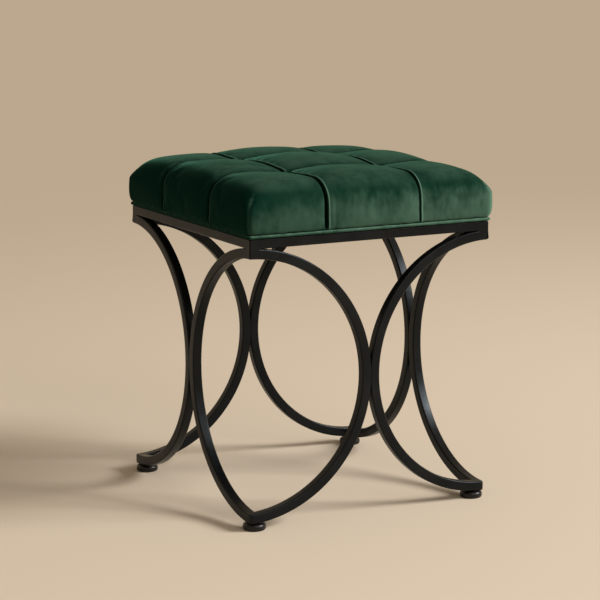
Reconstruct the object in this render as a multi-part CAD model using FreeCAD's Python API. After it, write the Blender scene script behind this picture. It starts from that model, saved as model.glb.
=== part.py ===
# Accent stool: a tufted velvet seat on a welded frame of square steel tube.
# Millimetres. +Z is up and the front faces -Y. The origin is on the floor, under the
# middle of the seat. Every side of the frame is alike, so each piece of the front side
# or of the front left corner is made once and turned a quarter turn for the others.

import FreeCAD, Part
import math
import os

Vector = FreeCAD.Vector

# Frame
frame_width = 380.0
tube_size = 14.0
tube_wall = 1.5
tube_edge_radius = 1.6
weld_land = 0.6          # how far an arc is ground flat where it is welded to its neighbours
foot_height = 10.5       # floor to the underside of the arcs

# Levelling glides
glide_inset = 13.3       # middle of a glide from the outer faces of its corner
glide_radius = 16.0
glide_gap = 0.5          # between the base and the tube above it
glide_top_round = 5.0
glide_foot_round = 2.8
glide_top_share = 0.6    # most of the base's height that its top round may take
glide_foot_share = 0.3
stem_radius = 3.95
stem_head_radius = 6.0
stem_head_height = 2.0
stem_head_floor = 3.0    # thickness of the base under the stem's head
stem_reach = 10.5        # how far the stem stands in its bush when it is screwed home
turning_clearance = 0.05
bush_radius = 8.0
bush_height = 11.0

# Tabs, screws and nuts that hold the seat
tab_leg = 55.0
tab_thickness = 3.0
screw_inset = 34.0       # middle of a screw from the outer faces of its corner
screw_radius = 3.0
screw_length = 16.0
screw_head_radius = 5.5
screw_head_height = 4.0
screw_head_round = 1.3
screw_socket_radius = 2.3
screw_socket_depth = 2.5
screw_hole_clearance = 0.4
thread_clearance = 0.05
washer_radius = 6.5
washer_thickness = 1.6
nut_barrel_radius = 4.0
nut_barrel_length = 9.0
nut_flange_radius = 9.5
nut_flange_thickness = 1.5
nut_clearance = 0.1

# Seat board, cover and dust cover
board_inset = 4.0        # edge of the board from the outer face of the rails
board_thickness = 12.0
board_corner_radius = 8.0
cover_thickness = 1.2
hem_width = 38.0         # how far the cover is turned in under the board
dust_cover_inset = 18.0
dust_cover_thickness = 0.8
dust_cover_clearance = 1.0

# Cushion
cushion_height = 85.0    # rail to the crown of the middle pad
neck_height = 5.4        # the stretch behind the welt
neck_inset = 1.6         # the neck from the outer face of the rails
neck_corner_radius = 5.0
side_swell = 7.5         # middle of a side pad beyond the outer face of the rails
corner_swell = 5.5       # corner of the cushion beyond the outer face of the rails
pleat_swell = 3.0        # bottom of a side pleat beyond the outer face of the rails
cushion_corner_radius = 10.0
swell_height = 25.0      # rail to the widest level of the sides
shoulder_height = 43.0   # rail to where the sides start to roll over
shoulder_width = 44.0    # how far in from the widest level the shoulder ends
shoulder_lean = 0.5      # the foot of the shoulder inside the widest level
shoulder_drop = 4.0      # end of the shoulder below the middle pad's crown
outer_crown_drop = 2.5   # crown of the outer pads below the middle pad's
tuft_spacing = 150.0     # between the two pleats that run each way
tuft_depth = 13.0        # tufts below the crown of the middle pad
welt_radius = 2.6
welt_corner_radius = 4.0
welt_clearance = 0.1

# Tuft twines and toggles
twine_radius = 0.9
twine_clearance = 0.2
twine_end = 2.0          # top of a twine below the bottom of its tuft
toggle_radius = 9.0
toggle_thickness = 1.0

# Staples
staples_per_side = 5
staple_pitch = 50.0
staple_crown = 10.0
staple_leg = 8.0
staple_width = 1.2
staple_thickness = 0.7
staple_edge = 6.0        # staples from the edge of the dust cover

# Levels and places that follow from the sizes
half_width = frame_width / 2
arc_radius = half_width - tube_size / 2 + weld_land
arc_level = foot_height + tube_size / 2 + arc_radius
rail_bottom = arc_level + arc_radius + tube_size / 2 - weld_land
rail_top = rail_bottom + tube_size
board_bottom = rail_top + cover_thickness
board_top = board_bottom + board_thickness
crown_level = rail_top + cushion_height
tuft_level = crown_level - tuft_depth
tuft_place = tuft_spacing / 2
glide_place = glide_inset - half_width
screw_place = screw_inset - half_width
glide_base_height = foot_height - glide_gap

corner_names = ["front_left", "front_right", "back_right", "back_left"]
side_names = ["front", "right", "back", "left"]


def box(low, high):
    """A box between two opposite corners."""
    size = [high[i] - low[i] for i in range(3)]
    return Part.makeBox(size[0], size[1], size[2], Vector(*low))


def cylinder(x, y, low, high, radius):
    """An upright cylinder between two levels."""
    return Part.makeCylinder(radius, high - low, Vector(x, y, low))


def turned(shape, quarter_turns):
    """A copy turned about the middle of the stool, by quarter turns."""
    copy = shape.copy()
    copy.rotate(Vector(0, 0, 0), Vector(0, 0, 1), 90 * quarter_turns)
    return copy


def at_corners(shape):
    """One copy at each corner, as a group of separate solids."""
    return Part.makeCompound([turned(shape, number) for number in range(4)])


def rounded_rectangle(half_x, half_y, radius):
    """Closed outline round the origin in the XY plane, with round corners."""
    straight_x = half_x - radius
    straight_y = half_y - radius
    slant = radius * math.sqrt(0.5)
    edges = []
    for turn in range(4):
        along, across = (straight_x, straight_y) if turn % 2 == 0 else (straight_y, straight_x)
        reach = across + radius
        start = Vector(-along, -reach, 0)
        end = Vector(along, -reach, 0)
        middle = Vector(along + slant, -across - slant, 0)
        stop = Vector(along + radius, -across, 0)
        pieces = [Part.LineSegment(start, end).toShape(), Part.Arc(end, middle, stop).toShape()]
        for piece in pieces:
            piece.rotate(Vector(0, 0, 0), Vector(0, 0, 1), 90 * turn)
            edges.append(piece)
    return Part.Wire(edges)


def plate(outline, low, high):
    """The outline's area made solid between two levels."""
    face = Part.Face(outline)
    face.translate(Vector(0, 0, low))
    return face.extrude(Vector(0, 0, high - low))


def tube_section():
    """Cross-section of the square tube round the origin in the XY plane, as solid and bore."""
    half = tube_size / 2
    inner_half = half - tube_wall
    inner_radius = max(tube_edge_radius - tube_wall, 0.1)
    outer = Part.Face(rounded_rectangle(half, half, tube_edge_radius))
    inner = Part.Face(rounded_rectangle(inner_half, inner_half, inner_radius))
    return outer.cut(inner)


def front_quarter(low, high):
    """The space over the front side, bounded by the two mitre planes of its corners."""
    reach = half_width + glide_radius
    outline = Part.makePolygon([Vector(0, 0, low), Vector(-reach, -reach, low), Vector(reach, -reach, low),
                                Vector(0, 0, low)])
    return Part.Face(outline).extrude(Vector(0, 0, high - low))


def make_rail():
    """The front seat rail, mitred at both ends."""
    section = tube_section()
    section.rotate(Vector(0, 0, 0), Vector(0, 1, 0), 90)
    section.translate(Vector(-half_width, tube_size / 2 - half_width, rail_bottom + tube_size / 2))
    tube = section.extrude(Vector(frame_width, 0, 0))
    return tube.common(front_quarter(rail_bottom, rail_top))


def make_arc():
    """The half circle at the left of the front side, ground flat against its neighbours."""
    section = tube_section()
    section.rotate(Vector(0, 0, 0), Vector(0, 1, 0), 90)
    section.translate(Vector(-half_width, tube_size / 2 - half_width, arc_level - arc_radius))
    middle = Vector(-half_width, 0, arc_level)
    tube = section.revolve(middle, Vector(0, -1, 0), 180)
    quarter = front_quarter(foot_height, rail_bottom)
    left_half = box((-frame_width, -frame_width, foot_height), (0, 0, rail_bottom))
    bush_hole = cylinder(glide_place, glide_place, foot_height, foot_height + bush_height, bush_radius)
    return tube.common(quarter).common(left_half).cut(bush_hole)


def make_bush():
    """The threaded bush welded up into the front left foot."""
    top = foot_height + bush_height
    body = cylinder(glide_place, glide_place, foot_height, top, bush_radius)
    return body.cut(cylinder(glide_place, glide_place, foot_height, top, stem_radius + turning_clearance))


def make_seat_tab():
    """The triangular tab welded into the front left corner of the rails."""
    corner = tube_size - half_width
    low = rail_top - tab_thickness
    outline = Part.makePolygon([Vector(corner, corner, low), Vector(corner + tab_leg, corner, low),
                                Vector(corner, corner + tab_leg, low), Vector(corner, corner, low)])
    tab = Part.Face(outline).extrude(Vector(0, 0, tab_thickness))
    hole_radius = screw_radius + screw_hole_clearance
    return tab.cut(cylinder(screw_place, screw_place, low, rail_top, hole_radius))


def circle_edges(shape, level):
    """The edges of a turned piece that lie in one level."""
    return [edge for edge in shape.Edges if abs(edge.BoundBox.ZMin - level) < 1e-6
            and abs(edge.BoundBox.ZMax - level) < 1e-6]


def make_glide_base():
    """The round plastic foot, with the socket that the stem's head turns in."""
    base = Part.makeCylinder(glide_radius, glide_base_height)
    top_round = min(glide_top_round, glide_base_height * glide_top_share)
    foot_round = min(glide_foot_round, glide_base_height * glide_foot_share)
    base = base.makeFillet(top_round, circle_edges(base, glide_base_height))
    base = base.makeFillet(foot_round, circle_edges(base, 0))
    head_low = stem_head_floor - turning_clearance
    head_high = stem_head_floor + stem_head_height + turning_clearance
    base = base.cut(cylinder(0, 0, head_low, head_high, stem_head_radius + turning_clearance))
    base = base.cut(cylinder(0, 0, head_high, glide_base_height, stem_radius + turning_clearance))
    base.translate(Vector(glide_place, glide_place, 0))
    return base


def make_glide_stem():
    """The threaded stem, drawn plain, with the flat head that turns in the base."""
    neck = stem_head_floor + stem_head_height
    head = cylinder(glide_place, glide_place, stem_head_floor, neck, stem_head_radius)
    shank = cylinder(glide_place, glide_place, neck, foot_height + stem_reach, stem_radius)
    return head.fuse(shank).removeSplitter()


def three_point_arcs(points):
    """A chain of arcs: every second point is an end, and those between are on the arcs."""
    return [Part.Arc(points[i], points[i + 1], points[i + 2]).toShape() for i in range(0, len(points) - 2, 2)]


def cushion_side_outline():
    """Upright outline of the cushion above its neck, in the XZ plane."""
    neck_level = rail_top + neck_height
    neck = half_width - neck_inset
    widest = half_width + side_swell
    shoulder = widest - shoulder_lean
    shoulder_end = widest - shoulder_width
    end_level = crown_level - shoulder_drop
    lift = end_level - (rail_top + shoulder_height)
    crown_place = (tuft_place + shoulder_end) / 2
    slant = math.sqrt(0.5)
    right = [
        Vector(neck, 0, neck_level),
        Vector(widest, 0, rail_top + swell_height),
        Vector(shoulder, 0, rail_top + shoulder_height),
        Vector(shoulder_end + (shoulder - shoulder_end) * slant, 0, end_level - lift * (1 - slant)),
        Vector(shoulder_end, 0, end_level),
        Vector(crown_place, 0, crown_level - outer_crown_drop),
        Vector(tuft_place, 0, tuft_level),
    ]
    left = [Vector(-point.x, 0, point.z) for point in reversed(right)]
    middle_pad = [right[-1], Vector(0, 0, crown_level), left[0]]
    bottom = Part.LineSegment(left[-1], right[0]).toShape()
    return Part.Wire(three_point_arcs(right) + three_point_arcs(middle_pad) + three_point_arcs(left) + [bottom])


def cushion_plan_outline():
    """Outline of the cushion seen from above, drawn in at its corners and pleats."""
    corner = half_width + corner_swell
    turn = corner - cushion_corner_radius
    pleat = half_width + pleat_swell
    widest = half_width + side_swell
    outer_middle = (turn + tuft_place) / 2
    slant = turn + cushion_corner_radius * math.sqrt(0.5)
    side = three_point_arcs([
        Vector(-turn, -corner, 0),
        Vector(-outer_middle, -widest, 0),
        Vector(-tuft_place, -pleat, 0),
        Vector(0, -widest, 0),
        Vector(tuft_place, -pleat, 0),
        Vector(outer_middle, -widest, 0),
        Vector(turn, -corner, 0),
        Vector(slant, -slant, 0),
        Vector(corner, -turn, 0),
    ])
    edges = []
    for number in range(4):
        edges += [turned(edge, number) for edge in side]
    return Part.Wire(edges)


def cushion_form(inset):
    """The cushion's shape, drawn in by a cloth's thickness: the space that its three outlines share."""
    reach = frame_width
    side = Part.Face(cushion_side_outline())
    plan = Part.Face(cushion_plan_outline())
    if inset > 0:
        side = side.makeOffset2D(-inset)
        plan = plan.makeOffset2D(-inset)
    side.translate(Vector(0, -reach, 0))
    along_y = side.extrude(Vector(0, 2 * reach, 0))
    along_x = turned(along_y, 1)
    upright = plan.extrude(Vector(0, 0, crown_level))
    body = along_x.common(along_y).common(upright)
    neck_half = half_width - neck_inset - inset
    neck_outline = rounded_rectangle(neck_half, neck_half, neck_corner_radius - inset)
    neck = plate(neck_outline, rail_top + inset, rail_top + neck_height + 2 * inset)
    return body.fuse(neck).removeSplitter()


def board_block(low, high):
    """The board's outline between two levels, with no holes."""
    half = half_width - board_inset
    return plate(rounded_rectangle(half, half, board_corner_radius), low, high)


def make_seat_board():
    """The plywood board, bored for the nuts and the tuft twines."""
    barrel_radius = nut_barrel_radius + nut_clearance
    flange_low = board_top - nut_flange_thickness
    nut_seat = cylinder(screw_place, screw_place, board_bottom, board_top, barrel_radius).fuse(
        cylinder(screw_place, screw_place, flange_low, board_top, nut_flange_radius + nut_clearance))
    twine_hole = cylinder(tuft_place, tuft_place, board_bottom, board_top, twine_radius + twine_clearance)
    return board_block(board_bottom, board_top).cut(at_corners(nut_seat)).cut(at_corners(twine_hole))


def make_foam_pad():
    """The foam over the board and round its edge, bored for the twines."""
    foam = cushion_form(cover_thickness).cut(board_block(board_bottom, board_top))
    top = tuft_level - twine_end
    return foam.cut(at_corners(cylinder(tuft_place, tuft_place, board_top, top, twine_radius + twine_clearance)))


def make_velvet_cover():
    """The cover: a skin over the foam, turned in under the board as a hem."""
    skin = cushion_form(0).cut(cushion_form(cover_thickness))
    opening = half_width - board_inset - hem_width
    skin = skin.cut(box((-opening, -opening, rail_top), (opening, opening, board_bottom)))
    hole_radius = screw_radius + screw_hole_clearance
    return skin.cut(at_corners(cylinder(screw_place, screw_place, rail_top, board_bottom, hole_radius)))


def make_seat_welt():
    """The covered cord round the foot of the cushion, lying on the rails."""
    half = half_width - neck_inset + welt_clearance + welt_radius
    path = rounded_rectangle(half, half, welt_corner_radius)
    path.translate(Vector(0, 0, rail_top + welt_radius))
    circle = Part.Circle(Vector(0, -half, rail_top + welt_radius), Vector(1, 0, 0), welt_radius).toShape()
    side = half - welt_corner_radius
    pieces = []
    for number in range(4):
        straight = Part.Face(Part.Wire([circle])).copy()
        straight.translate(Vector(-side, 0, 0))
        rod = straight.extrude(Vector(2 * side, 0, 0))
        bend_face = Part.Face(Part.Wire([circle])).copy()
        bend_face.translate(Vector(side, 0, 0))
        bend = bend_face.revolve(Vector(side, -side, 0), Vector(0, 0, 1), 90)
        pieces += [turned(rod, number), turned(bend, number)]
    return pieces[0].multiFuse(pieces[1:]).removeSplitter()


def make_dust_cover():
    """The thin cloth under the board, cut off at the corners to clear the tabs."""
    half = half_width - dust_cover_inset
    tab_line = 2 * (half_width - tube_size) - tab_leg - dust_cover_clearance * math.sqrt(2)
    short = tab_line - half
    corners = [(-short, -half), (short, -half), (half, -short), (half, short),
               (short, half), (-short, half), (-half, short), (-half, -short), (-short, -half)]
    outline = Part.makePolygon([Vector(x, y, 0) for x, y in corners])
    return plate(outline, rail_top - dust_cover_thickness, rail_top)


def make_nut():
    """The pronged nut let into the top of the board, its prongs left out."""
    barrel = cylinder(screw_place, screw_place, board_top - nut_barrel_length, board_top, nut_barrel_radius)
    flange = cylinder(screw_place, screw_place, board_top - nut_flange_thickness, board_top, nut_flange_radius)
    bore = cylinder(screw_place, screw_place, board_bottom, board_top, screw_radius + thread_clearance)
    return barrel.fuse(flange).cut(bore)


def make_washer():
    """The washer between the screw's head and the tab."""
    high = rail_top - tab_thickness
    low = high - washer_thickness
    ring = cylinder(screw_place, screw_place, low, high, washer_radius)
    return ring.cut(cylinder(screw_place, screw_place, low, high, screw_radius + screw_hole_clearance))


def make_screw():
    """The seat screw, its thread drawn plain, with a hexagon socket in its head."""
    seat = rail_top - tab_thickness - washer_thickness
    low = seat - screw_head_height
    head = cylinder(screw_place, screw_place, low, seat, screw_head_radius)
    head = head.makeFillet(screw_head_round, circle_edges(head, low))
    shank = cylinder(screw_place, screw_place, seat, seat + screw_length, screw_radius)
    corners = []
    for number in range(7):
        angle = math.radians(60 * number)
        corners.append(Vector(screw_place + screw_socket_radius * math.cos(angle),
                              screw_place + screw_socket_radius * math.sin(angle), 0))
    socket = plate(Part.makePolygon(corners), low, low + screw_socket_depth)
    return head.fuse(shank).removeSplitter().cut(socket)


def make_twine():
    """The twine from a tuft down through the foam and the board."""
    return cylinder(tuft_place, tuft_place, board_bottom, tuft_level - twine_end, twine_radius)


def make_toggle():
    """The disc that the twine is tied to, under the board."""
    return cylinder(tuft_place, tuft_place, board_bottom - toggle_thickness, board_bottom, toggle_radius)


def make_staple():
    """One staple of the front side, driven up through the dust cover and the hem."""
    high = rail_top - dust_cover_thickness
    low = high - staple_thickness
    place = dust_cover_inset + staple_edge - half_width
    near = place - staple_width / 2
    far = place + staple_width / 2
    half = staple_crown / 2
    crown = box((-half, near, low), (half, far, high))
    left_leg = box((-half, near, low), (staple_thickness - half, far, high + staple_leg))
    right_leg = box((half - staple_thickness, near, low), (half, far, high + staple_leg))
    return crown.multiFuse([left_leg, right_leg]).removeSplitter()


def make_staples():
    """The row of staples along every side."""
    staples = []
    for side in range(4):
        for number in range(staples_per_side):
            staple = make_staple()
            staple.translate(Vector((number - (staples_per_side - 1) / 2) * staple_pitch, 0, 0))
            staples.append(turned(staple, side))
    return Part.makeCompound(staples)


def make_parts():
    """Every piece of the stool, by name."""
    parts = {}
    rail = make_rail()
    left_arc = make_arc()
    right_arc = left_arc.mirror(Vector(0, 0, 0), Vector(1, 0, 0))
    tab = make_seat_tab()
    glide_base = make_glide_base()
    glide_stem = make_glide_stem()
    for number, side in enumerate(side_names):
        start = side_names[number - 1]
        end = side_names[(number + 1) % 4]
        corner = corner_names[number]
        parts[side + "_rail"] = turned(rail, number)
        parts[side + "_arc_" + start] = turned(left_arc, number)
        parts[side + "_arc_" + end] = turned(right_arc, number)
        parts["seat_tab_" + corner] = turned(tab, number)
        parts["glide_base_" + corner] = turned(glide_base, number)
        parts["glide_stem_" + corner] = turned(glide_stem, number)
    parts["foot_bushes"] = at_corners(make_bush())
    parts["seat_board"] = make_seat_board()
    parts["foam_pad"] = make_foam_pad()
    parts["velvet_cover"] = make_velvet_cover()
    parts["seat_welt"] = make_seat_welt()
    parts["dust_cover"] = make_dust_cover()
    parts["t_nuts"] = at_corners(make_nut())
    parts["seat_washers"] = at_corners(make_washer())
    parts["seat_screws"] = at_corners(make_screw())
    parts["tuft_twines"] = at_corners(make_twine())
    parts["tuft_toggles"] = at_corners(make_toggle())
    parts["seat_staples"] = make_staples()
    return parts


os.makedirs("parts", exist_ok=True)
for name, shape in make_parts().items():
    shape.exportStep("parts/" + name + ".step")
    print(name, len(shape.Solids), "solids", round(shape.Volume), "mm3", "valid" if shape.isValid() else "INVALID")
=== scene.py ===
import math

import bmesh
import bpy
from mathutils import Matrix, Vector, noise
from mathutils.bvhtree import BVHTree
from mathutils.geometry import interpolate_bezier
from mathutils.interpolate import poly_3d_calc


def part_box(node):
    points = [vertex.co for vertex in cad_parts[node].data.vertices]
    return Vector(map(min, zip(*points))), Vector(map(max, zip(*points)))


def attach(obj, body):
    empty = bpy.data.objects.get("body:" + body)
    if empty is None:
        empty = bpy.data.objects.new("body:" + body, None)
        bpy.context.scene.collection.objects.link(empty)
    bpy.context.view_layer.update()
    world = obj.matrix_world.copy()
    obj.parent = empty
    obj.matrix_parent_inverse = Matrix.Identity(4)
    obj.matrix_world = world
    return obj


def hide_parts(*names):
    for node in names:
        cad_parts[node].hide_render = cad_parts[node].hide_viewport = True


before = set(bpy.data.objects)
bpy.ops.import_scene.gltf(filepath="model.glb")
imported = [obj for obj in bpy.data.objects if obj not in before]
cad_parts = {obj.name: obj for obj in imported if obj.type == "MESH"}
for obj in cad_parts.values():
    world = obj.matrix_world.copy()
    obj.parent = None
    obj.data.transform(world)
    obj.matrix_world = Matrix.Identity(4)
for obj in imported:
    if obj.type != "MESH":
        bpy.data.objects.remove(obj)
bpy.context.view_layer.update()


# Camera
# A long lens on a tripod, a little over three metres from the stool and a little above its seat,
# looking past the front left corner so that the front and the left side both show.
camera_target = Vector((-0.0054, 0.0086, 0.2749))
camera_distance = 3.174
camera_turn = math.radians(-28.56)
camera_rise = math.radians(10.53)
camera_roll = math.radians(0.14)

towards_camera = Vector((math.sin(camera_turn) * math.cos(camera_rise),
                         -math.cos(camera_turn) * math.cos(camera_rise),
                         math.sin(camera_rise)))
level_right = Vector((math.cos(camera_turn), math.sin(camera_turn), 0))
level_up = towards_camera.cross(level_right)
right = level_right * math.cos(camera_roll) + level_up * math.sin(camera_roll)
up = level_up * math.cos(camera_roll) - level_right * math.sin(camera_roll)

scene = bpy.context.scene
camera_data = bpy.data.cameras.new("camera")
camera_data.sensor_width = 36
camera_data.lens = 130.2
camera_data.clip_end = 100
camera = bpy.data.objects.new("camera", camera_data)
camera.matrix_world = Matrix.Translation(camera_target + towards_camera * camera_distance) @ Matrix(
    (right, up, towards_camera)).transposed().to_4x4()
scene.collection.objects.link(camera)
scene.camera = camera


# Floor
# A wide plain sheet of pale painted board, which runs out of the picture on every side.
floor_radius = 40.0
floor_colour = (0.79, 0.66, 0.51, 1)
far_colour = (0.50, 0.39, 0.27, 1)
near_reach = 0.7  # the floor is lit as it is up to here from the middle
far_reach = 4.0  # and shows its far colour from here on


def start_material(name):
    """A new material, its node tree and its shader."""
    material = bpy.data.materials.new(name)
    material.use_nodes = True
    return material, material.node_tree, material.node_tree.nodes["Principled BSDF"]


def feed(socket, value):
    """Sets an input to a value, or links it to another node's output."""
    if isinstance(value, bpy.types.NodeSocket):
        socket.id_data.links.new(value, socket)
    else:
        socket.default_value = value


def set_inputs(node, **values):
    """Sets or links a node's inputs by their names, with _ for each space."""
    for name, value in values.items():
        feed(node.inputs[name.replace("_", " ")], value)


def add_object(name, shape, material):
    """An object made from a finished bmesh."""
    mesh = bpy.data.meshes.new(name)
    shape.to_mesh(mesh)
    shape.free()
    mesh.materials.append(material)
    thing = bpy.data.objects.new(name, mesh)
    scene.collection.objects.link(thing)
    return thing


def object_place(tree, stretch=(1, 1, 1)):
    """The place on the object, stretched along each axis."""
    coordinates = tree.nodes.new("ShaderNodeTexCoord")
    mapping = tree.nodes.new("ShaderNodeMapping")
    set_inputs(mapping, Vector=coordinates.outputs["Object"], Scale=stretch)
    return mapping.outputs["Vector"]


def ranged(tree, value, low, high, new_low=0.0, new_high=1.0):
    """A value from low to high made to run from new_low to new_high."""
    span = tree.nodes.new("ShaderNodeMapRange")
    span.interpolation_type = "SMOOTHSTEP"
    set_inputs(span, Value=value, From_Min=low, From_Max=high, To_Min=new_low, To_Max=new_high)
    return span.outputs["Result"]


def computed(tree, operation, first, second=0.0):
    """One sum on values or sockets."""
    step = tree.nodes.new("ShaderNodeMath")
    step.operation = operation
    feed(step.inputs[0], first)
    feed(step.inputs[1], second)
    return step.outputs["Value"]


def times(tree, first, second):
    """The product of two values or sockets."""
    return computed(tree, "MULTIPLY", first, second)


def mixed_shader(tree, share, first, second):
    """A shader between two others, by a share from 0 to 1."""
    mixer = tree.nodes.new("ShaderNodeMixShader")
    for socket, value in zip(mixer.inputs, (share, first, second)):
        feed(socket, value)
    return mixer.outputs["Shader"]


def seen_or_mirrored(tree):
    """1 for what is seen, straight or by way of something glossy or clear, and 0 for other light."""
    path = tree.nodes.new("ShaderNodeLightPath")
    seen = path.outputs["Is Camera Ray"]
    for ray in ("Is Glossy Ray", "Is Transmission Ray"):
        seen = computed(tree, "MAXIMUM", seen, path.outputs[ray])
    return seen


floor_material, floor_tree, floor_shader = start_material("pale_floor")
set_inputs(floor_shader, Base_Color=floor_colour, Roughness=0.9, Specular_IOR_Level=0.2)
from_middle = floor_tree.nodes.new("ShaderNodeVectorMath")
from_middle.operation = "LENGTH"
set_inputs(from_middle, Vector=object_place(floor_tree))
far_away = ranged(floor_tree, from_middle.outputs["Value"], near_reach, far_reach)
far_floor = floor_tree.nodes.new("ShaderNodeEmission")
set_inputs(far_floor, Color=far_colour)
floor_surface = mixed_shader(floor_tree, times(floor_tree, seen_or_mirrored(floor_tree), far_away),
                             floor_shader.outputs["BSDF"], far_floor.outputs["Emission"])
set_inputs(floor_tree.nodes["Material Output"], Surface=floor_surface)
floor_shape = bmesh.new()
bmesh.ops.create_circle(floor_shape, cap_ends=True, segments=64, radius=floor_radius)
floor = add_object("floor", floor_shape, floor_material)


# Studio light
# One large soft box at the right, a weaker one in front and the room's own even light, so that
# the front of the seat is lit and its left side stays dark. The backdrop has the far floor's colour.
lit_place = Vector((0, 0, 0.3))  # both boxes face this
room_light = 0.26
room_colour = (1.0, 0.87, 0.70, 1)


def add_soft_box(name, place, width, power):
    """A square lamp that faces the stool."""
    lamp_data = bpy.data.lights.new(name, "AREA")
    lamp_data.shape = "SQUARE"
    lamp_data.size = width
    lamp_data.energy = power
    lamp = bpy.data.objects.new(name, lamp_data)
    lamp.location = place
    lamp.rotation_euler = (Vector(place) - lit_place).to_track_quat("Z", "Y").to_euler()
    scene.collection.objects.link(lamp)


add_soft_box("key_light", place=(6.9, -4.8, 5.75), width=3.75, power=1010)
add_soft_box("front_light", place=(0.4, -3.6, 2.4), width=2.0, power=26)

world = bpy.data.worlds.new("studio")
world.use_nodes = True
scene.world = world
world_tree = world.node_tree
room = world_tree.nodes["Background"]
set_inputs(room, Color=room_colour, Strength=room_light)
backdrop = world_tree.nodes.new("ShaderNodeBackground")
set_inputs(backdrop, Color=far_colour)
surroundings = mixed_shader(world_tree, seen_or_mirrored(world_tree),
                            room.outputs["Background"], backdrop.outputs["Background"])
set_inputs(world_tree.nodes["World Output"], Surface=surroundings)

scene.view_settings.view_transform = "Standard"


# Frame
# Square steel tube: four mitred rails and eight rolled half circles, welded, ground flush and
# powder coated black with their seat tabs and foot bushes. The coat is satin, with a fine orange
# peel and a dark line at each upper mitre.
coat_colour = (0.0034, 0.0038, 0.0042, 1)
coat_worn_colour = (0.0080, 0.0085, 0.0088, 1)
coat_roughness = (0.25, 0.36)
peel_size = 0.0011
peel_depth = 0.00004
mitre_colour = (0.002, 0.002, 0.002, 1)
mitre_line_half = 0.0009
mitre_line_depth = 0.0020
mitre_line_fade = (0.10, 0.20)  # the line fades out between these levels, towards the feet


def parts_of(tree, vector):
    """The X, Y and Z parts of a place or a direction."""
    parts = tree.nodes.new("ShaderNodeSeparateXYZ")
    set_inputs(parts, Vector=vector)
    return parts.outputs


def cloudy(tree, place, grain, detail=2.0):
    """A soft random pattern from 0 to 1, whose lumps are about one grain wide."""
    pattern = tree.nodes.new("ShaderNodeTexNoise")
    set_inputs(pattern, Vector=place, Scale=1 / grain, Detail=detail)
    return pattern.outputs["Fac"]


def blended(tree, share, first, second):
    """A colour between two colours or sockets, by a share from 0 to 1."""
    mixer = tree.nodes.new("ShaderNodeMix")
    mixer.data_type = "RGBA"
    set_inputs(mixer, Factor=share)
    for socket, value in zip([entry for entry in mixer.inputs if entry.type == "RGBA"], (first, second)):
        feed(socket, value)
    return [entry for entry in mixer.outputs if entry.type == "RGBA"][0]


def raise_surface(tree, shader, height, depth, strength=1.0):
    """Bumps on top of those that the shader has already. Depth is in metres."""
    bump = tree.nodes.new("ShaderNodeBump")
    set_inputs(bump, Height=height, Distance=depth, Strength=strength)
    if shader.inputs["Normal"].is_linked:
        set_inputs(bump, Normal=shader.inputs["Normal"].links[0].from_socket)
    set_inputs(shader, Normal=bump.outputs["Normal"])


def paint(material, *names):
    """Gives CAD nodes their finish."""
    for name in names:
        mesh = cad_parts[name].data
        mesh.materials.clear()
        mesh.materials.append(material)


coat, coat_tree, coat_shader = start_material("black_powder_coat")
coat_place = object_place(coat_tree)
coat_parts = parts_of(coat_tree, coat_place)
beside_middle = computed(coat_tree, "ABSOLUTE", coat_parts["X"])
before_middle = computed(coat_tree, "ABSOLUTE", coat_parts["Y"])
from_mitre = computed(coat_tree, "ABSOLUTE",
                      computed(coat_tree, "SUBTRACT", beside_middle, before_middle))
on_mitre = ranged(coat_tree, from_mitre, mitre_line_half * 0.5, mitre_line_half * 1.5, 1.0, 0.0)
on_mitre = times(coat_tree, on_mitre, ranged(coat_tree, coat_parts["Z"], *mitre_line_fade))
coat_patches = ranged(coat_tree, cloudy(coat_tree, coat_place, 0.05, 4.0), 0.35, 0.75)
coat_tone = blended(coat_tree, coat_patches, coat_colour, coat_worn_colour)
coat_tone = blended(coat_tree, on_mitre, coat_tone, mitre_colour)
coat_gloss = ranged(coat_tree, cloudy(coat_tree, coat_place, 0.02, 3.0), 0.3, 0.7, *coat_roughness)
set_inputs(coat_shader, Base_Color=coat_tone, Roughness=coat_gloss, Specular_IOR_Level=0.19,
           Specular_Tint=(0.80, 0.92, 1.0, 1))
raise_surface(coat_tree, coat_shader, cloudy(coat_tree, coat_place, peel_size, 1.0), peel_depth, 0.7)
raise_surface(coat_tree, coat_shader, on_mitre, -mitre_line_depth)

corners = ("front_left", "front_right", "back_right", "back_left")
paint(coat, *["seat_tab_" + corner for corner in corners], "foot_bushes")

tube_size = 0.014
tube_round = 0.0021
tube_round_steps = 4
frame_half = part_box("front_rail")[1].x
rail_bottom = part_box("front_rail")[0].z
rail_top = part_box("front_rail")[1].z
foot_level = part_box("front_arc_left")[0].z
weld_land = 0.0006  # how far an arc is ground flat where it is welded
arc_radius = frame_half - tube_size / 2 + weld_land
arc_level = foot_level + tube_size / 2 + arc_radius
arc_steps = 80
beyond_corner = 0.01  # the tubes are made this much too long, and then mitred
seam_width = 0.00045  # the edges are broken this much along an upper mitre
thinnest_face = 0.000005  # thinner ones are taken out
foot_softening = 0.0036  # how far from a foot's corner the grinding starts
foot_ground_off = 0.0014  # and how much it takes off the corner
weld_reach = 0.012  # the weld under a rail is ground flush as far from the corner
weld_end = 0.016  # and runs out here
bush_place = 0.0133 - frame_half  # the bush's axis stands 13.3 mm inside the outer faces
bush_radius = 0.008
bush_height = 0.011
sharpest_smooth = math.radians(35)
sharpest_smooth_foot = math.radians(55)
in_plane = 0.000001  # points as near as this lie in a plane
nearly = 0.00001  # allowance for points at the end of a rounding or a weld


def all_of(shape):
    """All of a shape's points, edges and faces."""
    return list(shape.verts) + list(shape.edges) + list(shape.faces)


def open_edges(shape):
    """The edges with a face on one side only."""
    return [edge for edge in shape.edges if edge.is_boundary]


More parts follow.
